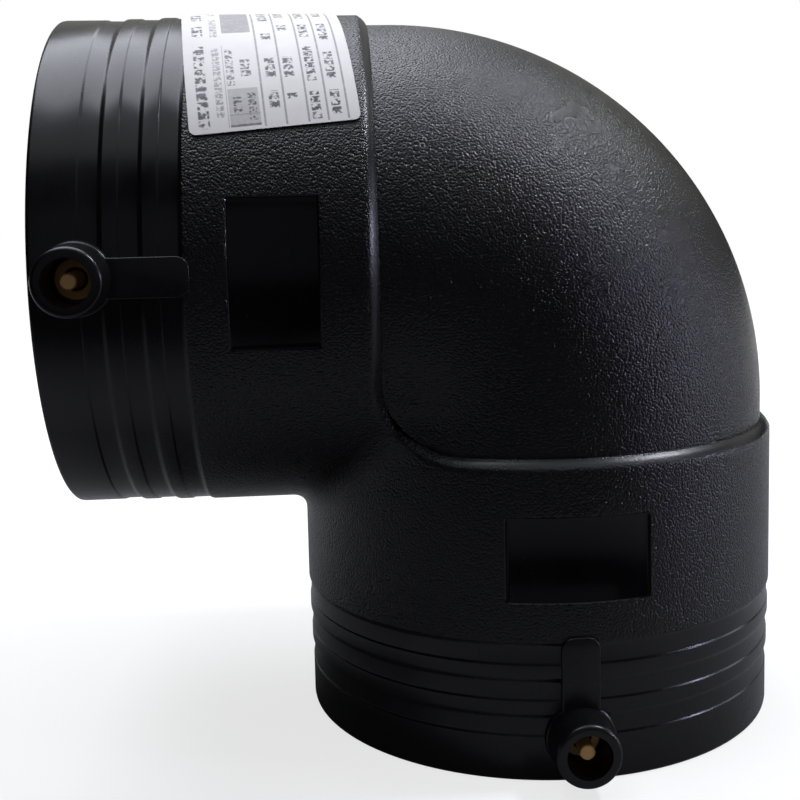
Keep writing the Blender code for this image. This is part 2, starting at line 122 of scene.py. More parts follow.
# Terminals, tongues and panels
SEAT_GAP = 0.0003
SHROUD_RADIUS = 0.0084
SHROUD_BORE_RADIUS = 0.0058
SHROUD_ROUNDING = 0.0015
SHROUD_DRAFT = 0.0004
SHROUD_FOOT = 0.0006
FLANGE_RADIUS = (PIN_HIGH.x - PIN_LOW.x) / 2
FLANGE_RIM = 0.0020
FLANGE_THICKNESS = 0.0014
FLANGE_DISH = 0.0006
PIN_RADIUS = 0.0020
PIN_LENGTH = 0.0090
PIN_CHAMFER = 0.0003
TONGUE_END = 0.0387
TONGUE_HALF_WIDTH = 0.0050
TONGUE_HEIGHT = 0.0007
TONGUE_CORNER = 0.0033
TONGUE_ROUNDING = 0.0003
PANEL_START = 0.048
PANEL_LENGTH = 0.0215
PANEL_HALF_WIDTH = 0.0187
PANEL_DEPTH = 0.0006
PANEL_CORNER = 0.0008
PANEL_ROUNDING = 0.0003

# Label
LABEL_WIDTH = 0.0423
LABEL_LENGTH = 0.0862
LABEL_THICKNESS = 0.0002
LABEL_CORNER = 0.0018
LABEL_MIDDLE = 0.056
LABEL_RISE = 0.0800
LABEL_TILT = math.radians(5.6)

# Fineness
CROTCH_COLUMNS = 22
CORNER_COLUMNS = 8
FRONT_COLUMNS = 10
HEEL_COLUMNS = 34
APPROACH_ROWS = 30
FILLET_ROWS = 6
BEND_ROWS = 26
WIRE_ZONE_ROWS = 100
WATERWAY_ROWS = 12
COIL_POINTS = 72
ROUND_SIDES = 64
PIN_SIDES = 48
ROUNDING_STEPS = 3
RIM_STEPS = 6
FOOT_STEPS = 4
TONGUE_CORNER_STEPS = 10
PANEL_CORNER_STEPS = 4
PANEL_STRIPS = 26
LABEL_CORNER_STEPS = 8
LABEL_STRIPS = 48
HALVINGS = 40
CAP_CORNERS = 80
MERGE = 0.000002

# Colours, linear
PLASTIC = (0.0022, 0.0022, 0.0026)
PLASTIC_WORN = (0.0038, 0.0038, 0.0045)
# Paler crest of the shoulder: partly rubbed wear, partly a painted highlight
CREST_WEAR_AND_PAINTED_HIGHLIGHT = (0.016, 0.016, 0.018)
DUST = (0.12, 0.12, 0.12)
BRASS = (1.0, 0.74, 0.38)
BRASS_DULL = (0.92, 0.65, 0.30)
# Painted shade and reflection in the hollow of each pin's dish
PAINTED_DISH_SHADE = (0.20, 0.045, 0.016)
COPPER = (0.80, 0.42, 0.25)
COPPER_DULL = (0.55, 0.26, 0.14)
FILM = (0.75, 0.73, 0.70)
FILM_WORN = (0.69, 0.67, 0.64)
INK = (0.06, 0.06, 0.07)
WHITE = (1.0, 1.0, 1.0)
COOL = (0.88, 0.90, 1.0)
VIOLET = (0.72, 0.70, 1.0)
WARM = (1.0, 1.0, 0.88)

# Sheen: roughness of each surface, how far it strays, and how strongly a surface mirrors
SKIN_ROUGHNESS = 0.25
SMOOTH_ROUGHNESS = 0.29
PANEL_ROUGHNESS = 0.16
BORE_ROUGHNESS = 0.38
PLASTIC_STRAY = (-0.05, 0.07)
BRASS_ROUGHNESS = 0.78
COPPER_ROUGHNESS = 0.38
METAL_STRAY = (-0.06, 0.14)
FILM_ROUGHNESS = 0.53
FILM_STRAY = (-0.07, 0.07)
GLOSS = 0.4
PANEL_GLOSS = 0.25
FILM_GLOSS = 0.2

# Moulded grain, and the shoulder's crest, which has little of it and is painted paler: partly
# rubbed wear, partly painted highlight
GRAIN_START = 0.0371
GRAIN_EDGE = 0.0002
GRAIN_DEPTH = 0.00011
GRAIN_ROUGHENING = 0.04
PEBBLE_SCALE = 1600
PEBBLE_STEEPNESS = 1.8
PEBBLE_DRIFT_SCALE = 900
PEBBLE_DRIFT = 0.0002
FINE_GRAIN_SCALE = 2.2 * PEBBLE_SCALE
FINE_GRAIN_SHARE = 0.35
CREST_GRAIN = 0.12
CREST_RISE = 0.0010
CREST_FADE = 0.0004
CREST_LEAST_WEAR_AND_HIGHLIGHT = 0.5

# Wear: clouds and rubbed spots in the sheen, specks of dust, and a slow swell of the surface
CLOUD_SCALE = 28
RUB_SCALE = 160
RUB_SHARE = 0.35
WIDE_CLOUDS = (0.3, 0.7)
NARROW_CLOUDS = (0.35, 0.65)
SPECK_SCALE = 2600
SPECKS = (0.70, 0.78)
DUSTY_CLOUDS = (0.45, 0.65)
DUST_SHARE = 0.35
SWELL_SCALE = 60
SWELL_SHARE = 0.3

# Turning lines of the metal and the bores, and the waves of the label's film
TURNED_LINE_PITCH = 0.0002
BORE_LINE_SHARE = 0.04
PIN_LINE_SHARE = 0.4
METAL_GRAIN_SCALE = 3000
METAL_GRAIN_DEPTH = 0.000006
DISH_EDGE = 0.0002
FILM_WAVE_SCALE = 220
FILM_WAVE_DEPTH = 0.00008

# Print: rows of strokes as (across, height, strength, runs), and bands as (left, right, start,
# end, strength), in millimetres from the label's middle
MILLIMETRES = 1000
STROKE_SPACING = (2.6, 2.4)
STROKE_EDGE = (0.40, 0.54)
STROKE_GAP = (0.05, 0.12)
ROW_EDGE = (0.42, 0.52)
BAND_SOFTNESS = 0.06
INK_PATCH_SCALE = 900
INK_PATCHES = (0.3, 0.5)
INK_LEAST = 0.75
PRINTED_ROWS = (
    (-17.3, 2.9, 0.90, ((-42.0, -11.7), (-6.7, 1.0), (6.0, 16.0), (22.0, 40.0))),
    (-13.1, 2.0, 0.55, ((-39.0, -13.0), (-7.0, 8.0), (14.0, 34.0))),
    (-9.8, 2.1, 0.75, ((-29.0, -14.0),)),
    (-5.8, 2.7, 0.85, ((-26.0, -19.0),)),
    (-8.7, 2.3, 0.90, ((-38.2, -32.8),)),
    (-5.1, 2.3, 0.90, ((-40.6, -31.8),)),
    (0.4, 2.7, 0.90, ((-37.5, -31.7), (-27.0, -19.0), (-10.0, -6.0), (4.0, 22.0))),
    (5.0, 2.7, 0.90, ((-35.0, -33.0), (-27.5, -19.0), (-4.6, -0.3), (8.0, 26.0))),
    (10.5, 2.5, 0.95, ((-42.0, -33.0), (-29.5, -14.5), (-9.5, -0.3), (6.0, 20.0))),
    (15.5, 2.5, 0.95, ((-41.0, -33.0), (-29.0, -18.0), (-11.7, -0.3), (8.0, 24.0))),
)
PRINTED_BANDS = (
    (-2.65, -2.15, -42.5, 42.5, 0.58), (2.60, 3.10, -42.5, 42.5, 0.58),
    (8.10, 8.60, -42.5, 42.5, 0.58), (12.95, 13.45, -42.5, 42.5, 0.58),
    (17.95, 18.45, -42.5, 42.5, 0.58), (-11.40, -11.20, -42.0, -12.0, 0.45),
    (-10.90, -3.40, -4.6, 21.0, 0.58), (-10.90, -3.40, -42.0, -30.0, 0.35),
    (-10.90, -3.40, -42.0, -41.3, 0.80), (-10.90, -3.40, -38.6, -38.2, 0.60),
)

# Camera
SENSOR_WIDTH = 36
LENS = 55.6
LENS_SHIFT = (-0.0407, -0.1034)
CAMERA_PLACE = (-0.02933, -0.36487, 0.15430)
CAMERA_ROLL = math.radians(1.664)
CAMERA_TILT = math.radians(-6.031)
CAMERA_TURN = math.radians(-4.861)

# Lamps: an arch over the elbow as (name, degrees from the front, across, size, brightness,
# colour), and patches at the right as (name, direction, size, brightness, colour)
LAMP_DISTANCE = 0.9
ARCH = (
    ("front", 12, -0.03, (1.1, 0.55), 0.13, COOL),
    ("front_top", 66, -0.03, (1.1, 0.54), 0.75, COOL),
    ("overhead", 105, -0.15, (0.90, 0.72), 5.0, COOL),
    ("back", 147, -0.03, (1.1, 0.55), 0.30, WARM),
)
PATCHES = (
    ("key", (0.60, 0.00, 0.80), (0.11, 0.11), 125.0, COOL),
    ("right", (0.92, 0.05, 0.11), (0.22, 0.45), 2.6, COOL),
    ("small", (0.92, -0.33, 0.18), (0.09, 0.09), 75.0, VIOLET),
    ("behind", (0.72, 0.48, 0.50), (0.60, 0.55), 0.38, WARM),
)

# Background: the floor is dark under the lens, turns pale further in and glows white for the
# camera. Mirrored rays see its far end, and past it only what lies straight back.
FLOOR_SIZE = 8
FLOOR_GREY = (0.30, 0.30, 0.30)
FLOOR_ROUGHNESS = 0.9
FLOOR_TURNS = (-0.26, -0.12)
FLOOR_TONES = (0.012, 0.28)
FLOOR_GLOW = (0.74, 1.0)
FLOOR_GLOW_REACH = (0.15, 0.70)
FRONT_GLOW = 0.99
BACKDROP = (0.25, 0.80)
STRAIGHT_BACK = (0.97, 1.0)
ROOM_LIGHT = 0.008

MITRE = Matrix(((0, 0, 1, -REACH), (0, 1, 0, 0), (1, 0, 0, REACH), (0, 0, 0, 1)))
LEFT_SOCKET = Matrix.Translation((-REACH, 0, REACH))
LOWER_SOCKET = Matrix.Rotation(-math.pi / 2, 4, "Y")
OUTWARDS = Matrix.Rotation(math.pi / 2, 4, "X")
TERMINAL = Matrix.Translation((TERMINAL_FROM_MOUTH, 0, 0)) @ OUTWARDS


# Handling of objects

def select_only(piece):
    if bpy.context.object and bpy.context.object.mode != "OBJECT":
        bpy.ops.object.mode_set(mode="OBJECT")
    bpy.ops.object.select_all(action="DESELECT")
    piece.select_set(True)
    bpy.context.view_layer.objects.active = piece


def edit(piece):
    """Go into edit mode with the whole piece selected."""
    select_only(piece)
    bpy.ops.object.mode_set(mode="EDIT")
    bpy.ops.mesh.select_mode(type="FACE")
    bpy.ops.mesh.select_all(action="SELECT")


def leave():
    bpy.ops.object.mode_set(mode="OBJECT")


def pick(piece, kind, test):
    """Go into edit mode with only those faces, edges or vertices selected that pass the test."""
    select_only(piece)
    mesh = piece.data
    for element in (*mesh.vertices, *mesh.edges, *mesh.polygons):
        element.select = False
    chosen = {"VERT": mesh.vertices, "EDGE": mesh.edges, "FACE": mesh.polygons}[kind]
    bpy.context.tool_settings.mesh_select_mode = [kind == mode for mode in ("VERT", "EDGE", "FACE")]
    for element in chosen:
        element.select = test(element)
    bpy.ops.object.mode_set(mode="EDIT")


def corners(piece, element):
    return [piece.data.vertices[index].co for index in element.vertices]


def merge_doubles(piece):
    edit(piece)
    bpy.ops.mesh.remove_doubles(threshold=MERGE)
    leave()


def point_outwards(piece):
    edit(piece)
    bpy.ops.mesh.normals_make_consistent(inside=False)
    leave()


def apply_modifiers(piece):
    select_only(piece)
    for modifier in list(piece.modifiers):
        bpy.ops.object.modifier_apply(modifier=modifier.name)


def put(piece, matrix):
    """Move the mesh itself, so that the object stays at the origin."""
    select_only(piece)
    piece.matrix_world = matrix @ piece.matrix_world
    bpy.ops.object.transform_apply(location=True, rotation=True, scale=True)


def join(pieces):
    select_only(pieces[0])
    for piece in pieces:
        piece.select_set(True)
    bpy.ops.object.join()
    return pieces[0]


def finish_piece(piece, replaced, smooth_angle=35):
    put(piece, Matrix.Translation(PLACE))
    select_only(piece)
    bpy.ops.object.shade_smooth_by_angle(angle=math.radians(smooth_angle))
    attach(piece, "root")
    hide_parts(replaced)


def paint(piece, material):
    piece.data.materials.clear()
    piece.data.materials.append(material)


# Shapes that several pieces start from

def drawn_sheet(name, lines):
    """A flat grid drawn into shape: one column for each line, one row for each point along it."""
    count = len(lines)
    bpy.ops.mesh.primitive_grid_add(x_subdivisions=count - 1, y_subdivisions=len(lines[0]) - 1)
    sheet = bpy.context.object
    sheet.name = name
    for index, vert in enumerate(sheet.data.vertices):
        vert.co = lines[index % count][index // count]
    return sheet


def turned(name, outline, sides=ROUND_SIDES):
    """A solid of revolution about +Z, drawn out of a disc ring by ring."""
    radius, height = outline[0]
    bpy.ops.mesh.primitive_circle_add(vertices=sides, radius=radius, fill_type="NGON",
                                      location=(0, 0, height))
    solid = bpy.context.object
    solid.name = name
    put(solid, Matrix.Identity(4))
    edit(solid)
    for next_radius, next_height in outline[1:]:
        bpy.ops.mesh.extrude_region_move(
            TRANSFORM_OT_translate={"value": (0, 0, next_height - height)})
        scale = next_radius / radius
        bpy.ops.transform.resize(value=(scale, scale, 1))
        radius, height = next_radius, next_height
    leave()
    point_outwards(solid)
    layer = solid.data.uv_layers.new(name="radius_and_height")
    for loop in solid.data.loops:
        place = solid.data.vertices[loop.vertex_index].co
        layer.data[loop.index].uv = (math.hypot(place.x, place.y), place.z)
    return solid


def rounded(profile, steps=ROUNDING_STEPS):
    """The profile with each corner rounded by its own length; a corner is (x, y, length)."""
    points = [profile[0][:2]]
    for before, corner, after in zip(profile, profile[1:], profile[2:]):
        place, size = Vector(corner[:2]), corner[2]
        if size == 0:
            points.append(corner[:2])
            continue
        to_before = Vector(before[:2]) - place
        to_after = Vector(after[:2]) - place
        start = place + to_before.normalized() * min(size, to_before.length / 2)
        end = place + to_after.normalized() * min(size, to_after.length / 2)
        for step in range(steps + 1):
            share = step / steps
            points.append(tuple(start.lerp(place, share).lerp(place.lerp(end, share), share)))
    points.append(profile[-1][:2])
    return points


# Outer skin. Its lines run along the tube, one for each angle round it, from the crotch (0) past
# the front (90 degrees) to the heel (180 degrees).

def socket_profile():
    """Distance from the mouth and radius, from the mouth's flat face to the plain socket."""
    mouth_radius = SOCKET_RADIUS - MOUTH_SETBACK
    rise = MOUTH_SETBACK / RAMP_COUNT
    profile = [(0, mouth_radius - 2 * MOUTH_ROUNDING, 0), (0, mouth_radius, MOUTH_ROUNDING)]
    for index in range(RAMP_COUNT):
        start = RAMP_START + index * RAMP_PITCH
        end = start + RAMP_WIDTH
        land = mouth_radius + index * rise
        profile.append((start, land, RAMP_LIP / 3))
        profile.append((start + RAMP_LIP, land - RAMP_DROP, RAMP_LIP / 3))
        profile.append((end, land - RAMP_DEPTH, STEP_SLOPE / 3))
        profile.append((end + STEP_SLOPE, land + rise, STEP_SLOPE / 3))
    profile.append((end + RAMP_WIDTH, SOCKET_RADIUS, 0))
    return rounded(profile)


def solve(function, low, high):
    """Where a falling function crosses zero."""
    for _ in range(HALVINGS):
        middle = (low + high) / 2
        if function(middle) > 0:
            low = middle
        else:
            high = middle
    return (low + high) / 2


def skin_point(radius, angle, x):
    """Point on the socket's skin. Towards the crotch the line bends into the fillet, along
    which the squared depths of the two crossing sockets pass smoothly into each other."""
    depth = radius * math.sin(angle)
    other = radius ** 2 - x ** 2
    z = REACH - radius * math.cos(angle)
    inside = depth ** 2 - other
    if math.cos(angle) > 0 and inside < BLEND:
        lead = 2 * math.sqrt(BLEND * max(inside, BLEND / 4)) - BLEND
        z = REACH - math.sqrt(radius ** 2 - other - lead)
    return Vector((x, -depth, z))


def recess_distance(point):
    """Side-view distance of a point from the edge of the recess that the bend rises from."""
    if point.z >= CORNER_Z:
        return -SHOULDER - point.x
    return math.hypot(point.x - CORNER_X, point.z - CORNER_Z) - RECESS_CORNER


def skin_end(radius, angle, distance):
    low = -SHOULDER - distance - MOUTH_ROUNDING
    x = solve(lambda x: recess_distance(skin_point(radius, angle, x)) - distance,
              low, low + RECESS_CORNER)
    return skin_point(radius, angle, x)


def mitre_point(radius, distance):
    """Point of the skin on the mitre plane, this far from the rounded corner of the recess."""
    x = CORNER_X - (RECESS_CORNER + distance) * math.sqrt(0.5)
    return Vector((x, -math.sqrt(radius ** 2 - x ** 2 + BLEND / 4), REACH + x))


def bend_depth(ring):
    """Half depth of the bend's tube at this distance from the axis that it turns about. The
    tube reaches past that axis, where it would dip to a point but for the rounded dimple."""
    eased = ring + max(BEND_DIMPLE - ring, 0) ** 2 / (2 * BEND_DIMPLE)
    return math.sqrt(max(TUBE_RADIUS ** 2 - (BEND_RADIUS - eased) ** 2, 0))


def bend_point(angle, travel):
    """Point of the bend's tube, this far along its line from the plane of the shoulder."""
    ring = BEND_RADIUS - TUBE_RADIUS * math.cos(angle)
    floor = REACH - BEND_RADIUS
    if travel <= BEND_STUB:
        return Vector((-SHOULDER + travel, -bend_depth(ring), floor + ring))
    turn = math.pi / 2 - min((travel - BEND_STUB) / max(ring, MERGE), math.pi / 4)
    return Vector((-BEND_RADIUS + ring * math.cos(turn), -bend_depth(ring),
                   floor + ring * math.sin(turn)))


def bend_line(angle):
    ring = max(BEND_RADIUS - TUBE_RADIUS * math.cos(angle), MERGE)
    length = BEND_STUB + ring * math.pi / 4
    start = solve(lambda travel: recess_distance(bend_point(angle, travel)), 0, length)
    return [bend_point(angle, start + (length - start) * row / BEND_ROWS)
            for row in range(BEND_ROWS + 1)]


def bend_foot():
    """Where the bend's tube meets the middle of the recess's rounded corner."""
    x = CORNER_X - RECESS_CORNER * math.sqrt(0.5)
    ring = (x + BEND_RADIUS) * math.sqrt(2) if x > -BEND_RADIUS else x + BEND_RADIUS
    return Vector((x, -bend_depth(ring), REACH + x))


def shoulder_rows():
    """Distance back from the shoulder's face, and how far the rounded edge has dropped."""
    rows = []
    for step in range(FILLET_ROWS):
        share = (step + 1) / FILLET_ROWS
        turn = share * math.pi / 2
        back = 1 - math.sin(turn) + SHOULDER_FLATNESS * (math.sin(turn) - share)
        drop = 1 - math.cos(turn) + SHOULDER_FLATNESS * (share - 1 + math.cos(turn))
        rows.append((SHOULDER_RUN * back, SHOULDER_FILLET * drop))
    return rows


def column_angles():
    mitre_reach = CORNER_X - (RECESS_CORNER + SHOULDER_RUN) * math.sqrt(0.5)
    corner = math.acos(math.sqrt(mitre_reach ** 2 - BLEND / 4) / SOCKET_RADIUS)
    straight = math.acos(-CORNER_X / SOCKET_RADIUS)
    angles = [0.0]
    for start, end, count in ((0, corner, CROTCH_COLUMNS), (corner, straight, CORNER_COLUMNS),
                              (straight, math.pi / 2, FRONT_COLUMNS),
                              (math.pi / 2, math.pi, HEEL_COLUMNS)):
        angles += [start + (end - start) * (step + 1) / count for step in range(count)]
    return angles


def skin_line(column, angle):
    """One line from the mouth to the mitre plane. In the crotch it ends at that plane early,
    and its last points lie on top of each other."""
    points = [Vector((-REACH + along, -radius * math.sin(angle), REACH - radius * math.cos(angle)))
              for along, radius in socket_profile()]
    start = points[-1].x
    if column <= CROTCH_COLUMNS:
        end = -math.sqrt((SOCKET_RADIUS * math.cos(angle)) ** 2 + BLEND / 4)
    else:
        end = skin_end(SOCKET_RADIUS, angle, SHOULDER_RUN).x
    for row in range(1, APPROACH_ROWS + 1):
        points.append(skin_point(SOCKET_RADIUS, angle, start + (end - start) * row / APPROACH_ROWS))
    if column < CROTCH_COLUMNS:
        points += [points[-1]] * (FILLET_ROWS + BEND_ROWS + 1)
    elif column == CROTCH_COLUMNS:
        points += [mitre_point(SOCKET_RADIUS - drop, distance)
                   for distance, drop in shoulder_rows()]
        points += [bend_foot()] * (BEND_ROWS + 1)
    else:
        points += [skin_end(SOCKET_RADIUS - drop, angle, distance)
                   for distance, drop in shoulder_rows()]
        points += bend_line(angle)
    return points


def outer_skin():
    """The front half of the left socket and its half of the bend, mirrored to the back."""
    lines = [skin_line(column, angle) for column, angle in enumerate(column_angles())]
    skin = drawn_sheet("outer_skin", lines)
    merge_doubles(skin)
    pick(skin, "FACE", lambda face: all(abs(co.x - co.z + REACH) < MERGE
                                        for co in corners(skin, face)))
    bpy.ops.mesh.delete(type="FACE")
    leave()
    mirror = skin.modifiers.new("front_to_back", "MIRROR")
    mirror.use_axis = (False, True, False)
    mirror.merge_threshold = MERGE
    apply_modifiers(skin)
    return skin


# Bore, from the mouth's flat face to the mitre plane

def ridge(along, angle):
    """Height of the plastic between two turns of the wire, which runs in its groove's middle."""
    pitch = (COIL_END - TERMINAL_FROM_MOUTH) / COIL_SWEEP
    phase = (along - TERMINAL_FROM_MOUTH) / pitch + (angle - math.pi / 2) / (2 * math.pi)
    from_wire = abs(phase - round(phase))
    height = min(max((from_wire - GROOVE_SHARE / 2) / (GROOVE_SHARE / 2), 0), 1)
    ends = min(along - WIRE_ZONE_START, WIRE_ZONE_END - along) / pitch * 2
    return RIDGE_HEIGHT * height * min(max(ends, 0), 1)


def bore_line(angle):
    """A line along the bore at this angle round the socket, counted from the crotch."""
    mouth_radius = SOCKET_RADIUS - MOUTH_SETBACK
    opening = rounded([(0, mouth_radius - 2 * MOUTH_ROUNDING, 0),
                       (0, BORE_RADIUS + BORE_CHAMFER, EDGE_ROUNDING),
                       (BORE_CHAMFER, BORE_RADIUS, EDGE_ROUNDING),
                       (WIRE_ZONE_START, BORE_RADIUS, 0)])
    stations = list(opening)
    for row in range(1, WIRE_ZONE_ROWS):
        along = WIRE_ZONE_START + (WIRE_ZONE_END - WIRE_ZONE_START) * row / WIRE_ZONE_ROWS
        stations.append((along, BORE_RADIUS + WIRE_ZONE_DEPTH - ridge(along, angle)))
    stations += rounded([(WIRE_ZONE_END, BORE_RADIUS, 0),
                         (INSERTION_DEPTH, BORE_RADIUS, STOP_ROUNDING),
                         (INSERTION_DEPTH, WATERWAY_RADIUS, STOP_ROUNDING),
                         (REACH - WATERWAY_BEND, WATERWAY_RADIUS, 0)])
    points = [Vector((-REACH + along, -radius * math.sin(angle), REACH - radius * math.cos(angle)))
              for along, radius in stations]
    ring = WATERWAY_BEND - WATERWAY_RADIUS * math.cos(angle)
    for row in range(1, WATERWAY_ROWS + 1):
        turn = math.pi / 2 - math.pi / 4 * row / WATERWAY_ROWS
        points.append(Vector((-WATERWAY_BEND + ring * math.cos(turn), points[-1].y,
                              REACH - WATERWAY_BEND + ring * math.sin(turn))))
    return points


def bore_wall():
    angles = column_angles()
    around = angles + [2 * math.pi - angle for angle in reversed(angles[:-1])]
    wall = drawn_sheet("bore_wall", [bore_line(angle) for angle in around])
    merge_doubles(wall)
    return wall


# Shapes that are joined to the body or cut out of it, in a socket's own axes

def shroud():
    """Round the terminal: rounded at the rim, and spreading a little where it meets the socket."""
    inside = SOCKET_RADIUS - BORE_RADIUS
    wall = SHROUD_RADIUS + SHROUD_DRAFT
    top = rounded([(wall, SOCKET_RADIUS, 0), (SHROUD_RADIUS, RIM_REACH, SHROUD_ROUNDING),
                   (SHROUD_BORE_RADIUS, RIM_REACH, 0)], steps=RIM_STEPS)
    foot = [(wall + SHROUD_FOOT, SOCKET_RADIUS - inside / 2),
            (wall + SHROUD_FOOT, SOCKET_RADIUS - SHROUD_FOOT)]
    for step in range(1, FOOT_STEPS + 1):
        turn = step * math.pi / (2 * FOOT_STEPS)
        foot.append((wall + SHROUD_FOOT * (1 - math.sin(turn)),
                     SOCKET_RADIUS + SHROUD_FOOT * (1 - math.cos(turn))))
    solid = turned("shroud", foot + top[1:])
    put(solid, TERMINAL)
    return solid


def shroud_bore():
    floor = RIM_REACH - (PIN_TIP - PIN_LENGTH)
    solid = turned("shroud_bore", rounded([
        (SHROUD_BORE_RADIUS, PIN_TIP - PIN_LENGTH - FLANGE_THICKNESS - SEAT_GAP, 0),
        (SHROUD_BORE_RADIUS, RIM_REACH, EDGE_ROUNDING),
        (SHROUD_BORE_RADIUS + floor, RIM_REACH + floor, 0)]))
    put(solid, TERMINAL)
    return solid


def tongue():
    """The raised tongue over the wire's way in: a block with rounded corners at its far end."""
    start, bottom, top = TERMINAL_FROM_MOUTH, BORE_RADIUS, SOCKET_RADIUS + TONGUE_HEIGHT
    middle = ((start + TONGUE_END) / 2, -(bottom + top) / 2, 0)
    size = (TONGUE_END - start, top - bottom, 2 * TONGUE_HALF_WIDTH)
    bpy.ops.mesh.primitive_cube_add(size=1, location=middle, scale=size)
    solid = bpy.context.object
    solid.name = "tongue"
    put(solid, Matrix.Identity(4))
    pick(solid, "EDGE", lambda edge: all(co.x > TONGUE_END - MERGE for co in corners(solid, edge))
         and abs(corners(solid, edge)[0].y - corners(solid, edge)[1].y) > MERGE)
    bpy.ops.mesh.bevel(offset=TONGUE_CORNER, segments=TONGUE_CORNER_STEPS, affect="EDGES")
    leave()
    pick(solid, "EDGE", lambda edge: all(co.y < -top + MERGE for co in corners(solid, edge)))
    bpy.ops.mesh.bevel(offset=TONGUE_ROUNDING, segments=ROUNDING_STEPS, affect="EDGES")
    leave()
    return solid


def flat_plate(name, size, corner, steps):
    """A rectangle with rounded corners, in the plane that is wrapped round the socket later."""
    bpy.ops.mesh.primitive_plane_add(size=1)
    plate = bpy.context.object
    plate.name = name
    put(plate, Matrix.Diagonal((*size, 1, 1)))
    pick(plate, "VERT", lambda vert: True)
    bpy.ops.mesh.bevel(offset=corner, segments=steps, affect="VERTICES")
    leave()
    return plate


def panel():
    """The shape cut out for a panel: its floor, a wall that widens outwards, and what is above."""
    solid = flat_plate("panel", (PANEL_LENGTH, 2 * PANEL_HALF_WIDTH), PANEL_CORNER,
                       PANEL_CORNER_STEPS)
    put(solid, Matrix.Translation((0, 0, -PANEL_DEPTH)))
    edit(solid)
    rises = ((PANEL_ROUNDING / 2, PANEL_ROUNDING), (PANEL_DEPTH - 1.5 * PANEL_ROUNDING, 0),
             (PANEL_ROUNDING, PANEL_ROUNDING), (PANEL_DEPTH, 2 * PANEL_DEPTH))
    length, width = PANEL_LENGTH, 2 * PANEL_HALF_WIDTH
    for rise, spread in rises:
        bpy.ops.mesh.extrude_region_move(TRANSFORM_OT_translate={"value": (0, 0, rise)})
        bpy.ops.transform.resize(value=(1 + 2 * spread / length, 1 + 2 * spread / width, 1))
        length, width = length + 2 * spread, width + 2 * spread
    leave()
    put(solid, Matrix.Translation((PANEL_START + PANEL_LENGTH / 2, 0, 0)))
    wrap(solid, SOCKET_RADIUS, PANEL_STRIPS)
    point_outwards(solid)
    return solid


def wrap(piece, radius, strips):
    """Cut a flat piece into strips and lay it round the socket's front: its y becomes the arc
    length and its z the height above this radius."""
    low = min(vert.co.y for vert in piece.data.vertices)
    high = max(vert.co.y for vert in piece.data.vertices)
    edit(piece)
    for strip in range(1, strips):
        bpy.ops.mesh.select_all(action="SELECT")
        cut = low + (high - low) * strip / strips
        bpy.ops.mesh.bisect(plane_co=(0, cut, 0), plane_no=(0, 1, 0))
    leave()
    for vert in piece.data.vertices:
        turn = vert.co.y / SOCKET_RADIUS
        reach = radius + vert.co.z
        vert.co = (vert.co.x, -reach * math.cos(turn), reach * math.sin(turn))


def work_in(body, tools, operation):
    """Join a set of shapes to the body, or cut them out of it, and clear them away."""
    work = bpy.data.collections.new("work")
    bpy.context.scene.collection.children.link(work)
    for tool in tools:
        for home in list(tool.users_collection):
            home.objects.unlink(tool)
        work.objects.link(tool)
    modifier = body.modifiers.new(operation, "BOOLEAN")
    modifier.operation = operation
    modifier.solver = "EXACT"
    modifier.operand_type = "COLLECTION"
    modifier.collection = work
    modifier.material_mode = "TRANSFER"
    apply_modifiers(body)
    for tool in tools:
        bpy.data.objects.remove(tool)
    bpy.data.collections.remove(work)


def is_cap(piece, face):
    """One of the two faces that close the socket's skin off, at the mouth and at the mitre."""
    return len(face.vertices) > CAP_CORNERS and (
        all(abs(co.x + REACH) < MERGE for co in corners(piece, face))
        or all(abs(co.x - co.z + REACH) < MERGE for co in corners(piece, face)))


def elbow_moulding(textured, smooth, polished, bored):
    body = outer_skin()
    body.name = "elbow_moulding"
    paint(body, textured)
    edit(body)
    bpy.ops.mesh.fill_holes(sides=0)
    leave()
    point_outwards(body)
    for makers, operation in (((shroud, tongue), "UNION"), ((shroud_bore, panel), "DIFFERENCE")):
        tools = [maker() for maker in makers]
        for tool in tools:
            put(tool, LEFT_SOCKET)
            paint(tool, polished if tool.name == "panel" else smooth)
        work_in(body, tools, operation)
    pick(body, "FACE", lambda face: is_cap(body, face))
    bpy.ops.mesh.delete(type="FACE")
    leave()
    wall = bore_wall()
    paint(wall, bored)
    join([body, wall])
    merge_doubles(body)
    bpy.ops.object.empty_add(location=(0, 0, REACH), rotation=(0, math.pi / 4, 0))
    plane = bpy.context.object
    mirror = body.modifiers.new("across_the_mitre", "MIRROR")
    mirror.mirror_object = plane
    mirror.merge_threshold = MERGE
    apply_modifiers(body)
    bpy.data.objects.remove(plane)
    point_outwards(body)
    finish_piece(body, "elbow_body")
    return body


# Metal

def coil_points():
    """From under the left pin round the bore to the crotch side, at an even pitch."""
    sweep = 2 * math.pi * COIL_SWEEP
    count = round(COIL_POINTS * COIL_SWEEP)
    radius = BORE_RADIUS + WIRE_ZONE_DEPTH - WIRE_BURIED - WIRE_RADIUS
    points = []
    for step in range(count + 1):
        share = step / count
        angle = math.pi / 2 - sweep * share
        along = TERMINAL_FROM_MOUTH + (COIL_END - TERMINAL_FROM_MOUTH) * share
        points.append(Vector((-REACH + along, -radius * math.sin(angle),
                              REACH - radius * math.cos(angle))))
    return points


def heating_wire(material):
    left = coil_points()
    route = left + [MITRE @ point for point in reversed(left)]
    curve = bpy.data.curves.new("heating_coils", "CURVE")
    curve.dimensions = "3D"
    curve.bevel_depth = WIRE_RADIUS
    curve.bevel_resolution = 2
    curve.use_fill_caps = True
    spline = curve.splines.new("POLY")
    spline.points.add(len(route) - 1)
    for point, place in zip(spline.points, route):
        point.co = (*place, 1)
    wire = bpy.data.objects.new("heating_coils", curve)
    bpy.context.scene.collection.objects.link(wire)
    select_only(wire)
    bpy.ops.object.convert(target="MESH")
    paint(wire, material)
    finish_piece(wire, "heating_wire", smooth_angle=60)
    return wire


